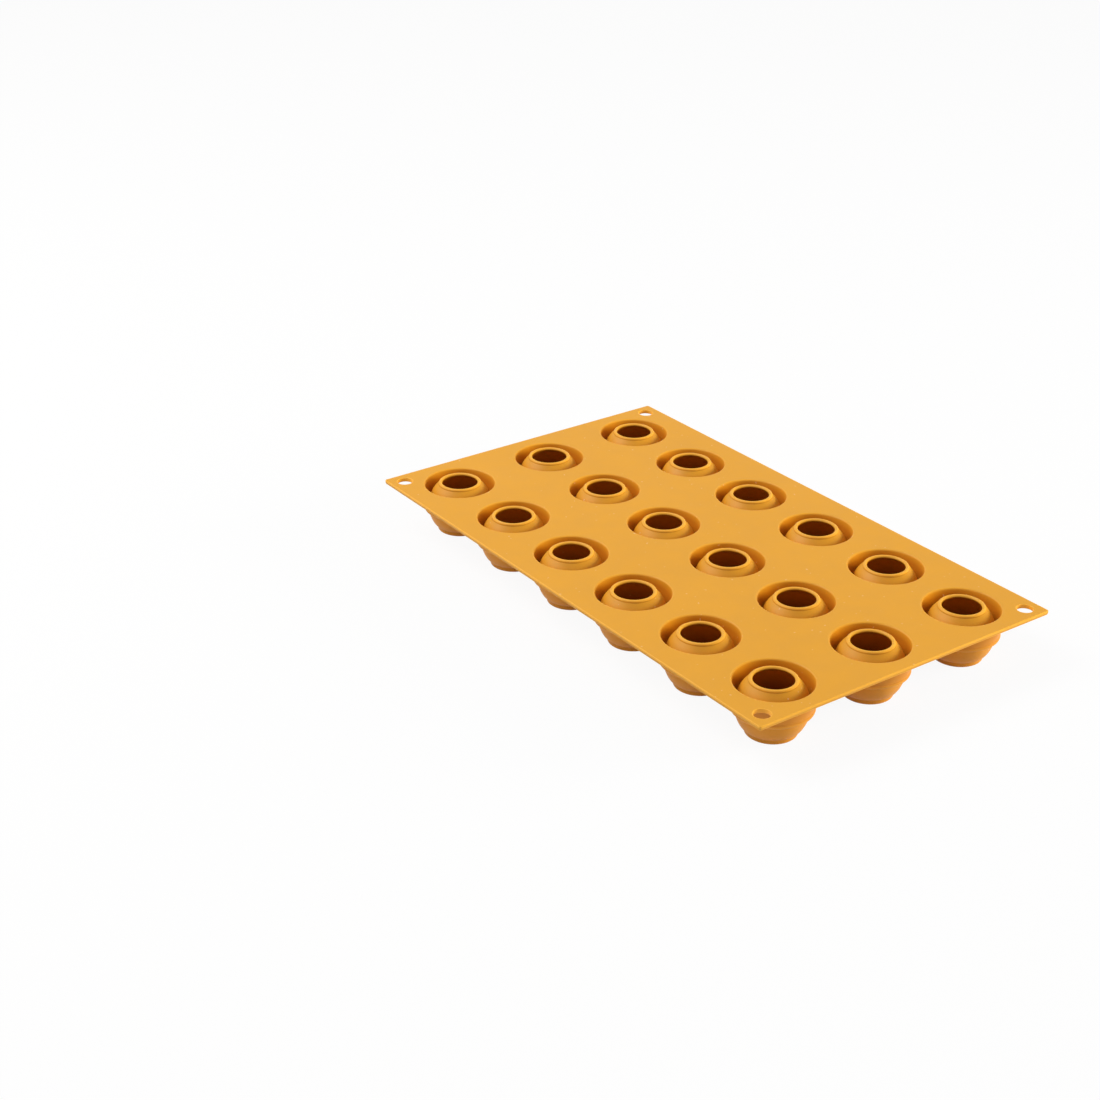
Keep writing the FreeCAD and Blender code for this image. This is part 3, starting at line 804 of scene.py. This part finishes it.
def silicone_material(look):
    """Matt, faintly grained silicone, with painted shade in its hollows and creases and under the sheet,
    and painted highlights along its thin edges.
    """
    shades = SiliconeShades
    material, nodes = new_material("silicone")
    place = nodes.out("ShaderNodeTexCoord", "Object")
    depth, edge = (nodes.out("ShaderNodeAttribute", "Fac", {"attribute_name": name})
                   for name in Skin.MARKS)
    mottle = place.cloud(*shades.MOTTLE)
    sweep = place.cloud(*shades.SWEEP)
    grain = place.cloud(*shades.GRAIN)
    fleck = place.cloud(*shades.FLECK)
    light = mottle * shades.MOTTLE_SHARE + sweep * shades.SWEEP_SHARE + grain * shades.GRAIN_SHARE
    dark_tone = solid(look.base, shades.DARK_TONE)
    light_tone = solid(look.base, shades.LIGHT_TONE)
    plain = light.spread(*shades.LIGHT_RANGE).mix(dark_tone, light_tone)
    # Painted bounce tone on the cups' outsides, below the sheet
    outside = (depth * -1.0).clamped().mix(plain, solid(look.under))
    # Painted shade on the skirts, darkest at their tops under the sheet
    shade = (depth * -shades.SHADE_RATE + shades.SHADE_RATE * shades.SHADE_START).clamped()
    shaded = shade.mix(outside, solid(look.painted_shade, shades.SHADE_TONE))
    # Painted shade on the recess walls, which grows with the depth mark
    recess = (depth * (1.0 / MouldSurface.RECESS_DEPTH)).clamped().mix(shaded, solid(look.painted_shade))
    # Painted bounce colour in the upper part of the cavity
    throat_bounce = depth.spread(*shades.THROAT_RANGE).mix(recess, solid(look.throat_bounce))
    # Painted shade toward the cavity's floor
    well_shade = depth.spread(*shades.WELL_RANGE).mix(throat_bounce, solid(look.well_shade))
    # Painted highlight on the rounds, from the edge mark
    lit = (edge * shades.EDGE_SHARE).clamped().mix(well_shade, solid(look.edge))
    # Painted shade in the creases, where the edge mark is below zero
    crease_tone = solid(look.painted_shade, shades.CREASE_TONE)
    creased = (edge * -shades.CREASE_SHARE).clamped().mix(lit, crease_tone)
    base = (fleck.spread(*shades.FLECK_RANGE) * shades.FLECK_SHARE).mix(creased, solid(look.dust))
    bump = nodes.out("ShaderNodeBump", "Normal", None,
                     {"Strength": shades.BUMP_STRENGTH, "Distance": look.grain, "Height": grain})
    surface = nodes.out("ShaderNodeBsdfPrincipled", "BSDF", None, {
        "Base Color": base,
        "Roughness": (mottle - shades.MIDDLE) * shades.ROUGHNESS_CHANGE + look.roughness,
        "Normal": bump,
        "IOR": shades.REFRACTION,
    })
    finish_material(nodes, surface)
    return material


def camera_only_white(nodes, surface, share):
    """A surface that looks partly white to the camera, gloss and glass, and lights things as it is."""
    path = nodes.node("ShaderNodeLightPath")
    rays = ("Is Camera Ray", "Is Glossy Ray", "Is Transmission Ray")
    camera, gloss, glass = (Socket(nodes.tree, path.outputs[name]) for name in rays)
    turned = (camera + gloss + glass).clamped() * share
    white = nodes.out("ShaderNodeEmission", "Emission", None, {"Color": solid((1, 1, 1)), "Strength": 1.0})
    return nodes.out("ShaderNodeMixShader", "Shader", None, {"Fac": turned, 1: surface, 2: white})


def floor_material(look):
    """A pale floor that stays nearly white for the camera and keeps the object's shadow."""
    material, nodes = new_material("pale_floor")
    matt = nodes.out("ShaderNodeBsdfDiffuse", "BSDF", None, {"Color": solid(look.floor)})
    finish_material(nodes, camera_only_white(nodes, matt, look.whiteness))
    return material


def add_piece(name, vertices, faces):
    """A smooth mesh object."""
    mesh = bpy.data.meshes.new(name)
    mesh.from_pydata([tuple(vertex) for vertex in vertices], [], faces)
    mesh.update()
    mesh.shade_smooth()
    piece = bpy.data.objects.new(name, mesh)
    bpy.context.scene.collection.objects.link(piece)
    return piece


class MOULD_OT_add_moulding(bpy.types.Operator):
    """Builds the sheet with its cups in one piece of silicone"""

    bl_idname = "mould.add_moulding"
    bl_label = "Moulding"

    def execute(self, context):
        scene = context.scene
        skin = MouldSurface(scene.mould_sheet, scene.mould_cup).build()
        piece = add_piece("moulding", skin.vertices, skin.faces)
        for index, name in enumerate(Skin.MARKS):
            attribute = piece.data.attributes.new(name, "FLOAT", "POINT")
            attribute.data.foreach_set("value", [marks[index] for marks in skin.marks])
        piece.data.materials.append(silicone_material(scene.mould_silicone))
        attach(piece, BODY)
        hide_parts(NODE)
        return {"FINISHED"}


class MOULD_OT_add_stage(bpy.types.Operator):
    """Adds the floor, the lamps, the daylight and the camera"""

    bl_idname = "mould.add_stage"
    bl_label = "Stage"

    # The camera, as solved from the photo: its place, and the directions to its right and its top
    EYE = Vector((-0.561154, -0.666257, 0.458886))
    RIGHT = Vector((0.815214, -0.579160, 0.000356))
    UP = Vector((0.260807, 0.367656, 0.892641))
    FLOOR_REACH = 6.0
    # The lamps, which face the middle of the floor
    KEY_PLACE = (-0.75, 0.75, 1.25)
    KEY_SIZE = 0.9
    FILL_PLACE = (1.25, -0.8, 0.29)
    FILL_SIZE = 0.6

    def execute(self, context):
        look = context.scene.mould_stage
        self.add_floor(look)
        self.add_daylight(look)
        self.add_lamp("key_lamp", look.key, self.KEY_PLACE, self.KEY_SIZE)
        fill = self.add_lamp("fill_lamp", look.fill, self.FILL_PLACE, self.FILL_SIZE)
        fill.visible_glossy = False
        self.add_camera(look)
        context.scene.view_settings.view_transform = "Standard"
        return {"FINISHED"}

    def add_floor(self, look):
        """One flat square at the height of the feet."""
        reach = self.FLOOR_REACH
        corners = [(x * reach, y * reach, 0.0) for x, y in ((-1, -1), (1, -1), (1, 1), (-1, 1))]
        floor = add_piece("floor", corners, [(0, 1, 2, 3)])
        floor.data.materials.append(floor_material(look))

    def add_daylight(self, look):
        """Even light from all round, which looks white to the camera."""
        world = bpy.data.worlds.new("daylight")
        world.use_nodes = True
        world.node_tree.nodes.clear()
        nodes = Socket(world.node_tree, None)
        soft = nodes.out("ShaderNodeBackground", "Background", None,
                         {"Color": solid((1, 1, 1)), "Strength": look.daylight})
        nodes.node("ShaderNodeOutputWorld", None, {"Surface": camera_only_white(nodes, soft, 1.0)})
        bpy.context.scene.world = world

    def add_lamp(self, name, power, place, size):
        """A square lamp that faces the middle of the floor."""
        lamp = bpy.data.lights.new(name, "AREA")
        lamp.energy = power
        lamp.size = size
        made = bpy.data.objects.new(name, lamp)
        made.location = place
        made.rotation_euler = (-Vector(place)).to_track_quat("-Z", "Y").to_euler()
        bpy.context.scene.collection.objects.link(made)
        return made

    def add_camera(self, look):
        """The camera, where the photo was taken from."""
        data = bpy.data.cameras.new("camera")
        data.sensor_width = 36.0
        data.lens = look.lens
        data.clip_start = 0.01
        camera = bpy.data.objects.new("camera", data)
        back = self.RIGHT.cross(self.UP)
        turned = Matrix((self.RIGHT, self.UP, back)).transposed().to_4x4()
        camera.matrix_world = Matrix.Translation(self.EYE) @ turned
        bpy.context.scene.collection.objects.link(camera)
        bpy.context.scene.camera = camera


class MOULD_PT_panel(bpy.types.Panel):
    """Lists the steps that build the mould and its stage"""

    bl_label = "Silicone mould"
    bl_idname = "MOULD_PT_panel"
    bl_space_type = "VIEW_3D"
    bl_region_type = "UI"
    bl_category = "Mould"

    def draw(self, context):
        column = self.layout.column()
        for step in STEPS:
            column.operator(step.bl_idname)
        for group in GROUPS:
            settings = getattr(context.scene, group)
            for name in settings.bl_rna.properties.keys():
                if name not in ("rna_type", "name"):
                    column.prop(settings, name)


GROUPS = {
    "mould_sheet": SheetSizes,
    "mould_cup": CupSizes,
    "mould_silicone": SiliconeLook,
    "mould_stage": StageLook,
}
STEPS = (MOULD_OT_add_moulding, MOULD_OT_add_stage)
CLASSES = tuple(GROUPS.values()) + STEPS + (MOULD_PT_panel,)


def register():
    for item in CLASSES:
        bpy.utils.register_class(item)
    for name, group in GROUPS.items():
        setattr(bpy.types.Scene, name, PointerProperty(type=group))


def unregister():
    for name in GROUPS:
        delattr(bpy.types.Scene, name)
    for item in reversed(CLASSES):
        bpy.utils.unregister_class(item)


def main():
    register()
    bpy.ops.mould.add_moulding()
    bpy.ops.mould.add_stage()


if __name__ == "__main__":
    main()
